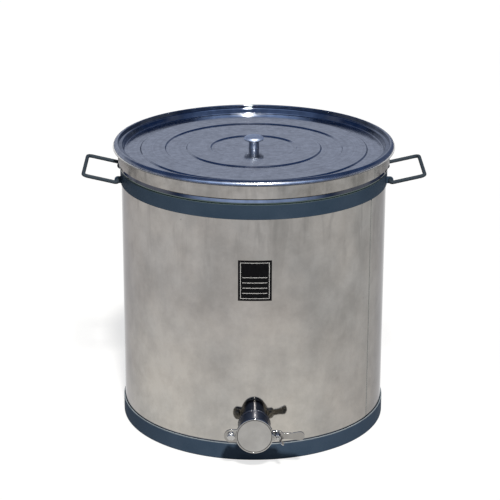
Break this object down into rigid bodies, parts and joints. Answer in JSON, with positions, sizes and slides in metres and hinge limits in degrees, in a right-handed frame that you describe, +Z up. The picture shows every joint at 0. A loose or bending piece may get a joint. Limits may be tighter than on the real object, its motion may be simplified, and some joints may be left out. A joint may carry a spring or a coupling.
{
  "type": "honey settling tank",
  "caption": "Round polished steel settling tank with a lift-off lid and knob, painted clamp bands, hinged carrying loops and a swing-flap honey gate near the floor.",
  "frame": {"origin": "on the floor, on the tank's axis", "axes": "+Z up the tank's axis; the honey gate faces -Y; +X across the two carrying loops"},
  "size_m": [0.6428, 0.5898, 0.552],
  "materials": {
    "polished_steel": "polished sheet",
    "lid_steel": "polished pressed sheet",
    "satin_steel": "satin sheet",
    "weld_steel": "ground weld",
    "gate_steel": "polished",
    "fastener_steel": "bright",
    "band_paint": "satin slate blue paint",
    "handle_paint": "satin slate blue paint",
    "knob_chrome": "polished",
    "label_vinyl": "black vinyl label",
    "seal_silicone": "milky silicone"
  },
  "bodies": {
    "tank": {"tank_wall": "polished_steel", "wall_seam": "weld_steel", "tank_bottom": "satin_steel", "base_band": "band_paint", "upper_band": "band_paint", "band_bolts": "fastener_steel", "band_nuts": "fastener_steel", "handle_lugs_left": "band_paint", "handle_lugs_right": "band_paint", "gate_tube": "gate_steel", "gate_weld": "weld_steel", "gate_flange": "gate_steel", "gate_seal": "seal_silicone", "pivot_bolt": "fastener_steel", "pivot_washer": "fastener_steel", "pivot_nut": "fastener_steel", "lock_stud": "fastener_steel", "label_plate": "label_vinyl"},
    "gate_flap": {"gate_flap": "gate_steel"},
    "wing_nut": {"wing_nut": "gate_steel", "lock_washer": "fastener_steel"},
    "lid": {"lid_pan": "lid_steel", "lid_skirt": "polished_steel", "lid_seam": "weld_steel", "lid_knob": "knob_chrome", "knob_washer": "fastener_steel", "knob_screw": "fastener_steel"},
    "handle_left": {"handle_left": "handle_paint"},
    "handle_right": {"handle_right": "handle_paint"}
  },
  "joints": [
    {"name": "lid_lift", "type": "slide", "parent": "tank", "child": "lid", "axis": [0, 0, 1], "range_m": [0, 0.25]},
    {"name": "flap_swing", "type": "hinge", "parent": "tank", "child": "gate_flap", "pos_m": [-0.0429, -0.299, 0.071], "axis": [0, -1, 0], "range_deg": [0, 95]},
    {"name": "wing_nut_turn", "type": "hinge", "parent": "tank", "child": "wing_nut", "pos_m": [0.0418, -0.305, 0.071], "axis": [0, -1, 0], "continuous": true},
    {"name": "left_loop_swing", "type": "hinge", "parent": "tank", "child": "handle_left", "pos_m": [-0.2546, 0, 0.4794], "axis": [0, 1, 0], "range_deg": [-103, 62]},
    {"name": "right_loop_swing", "type": "hinge", "parent": "tank", "child": "handle_right", "pos_m": [0.2546, 0, 0.4794], "axis": [0, -1, 0], "range_deg": [-103, 62]}
  ]
}
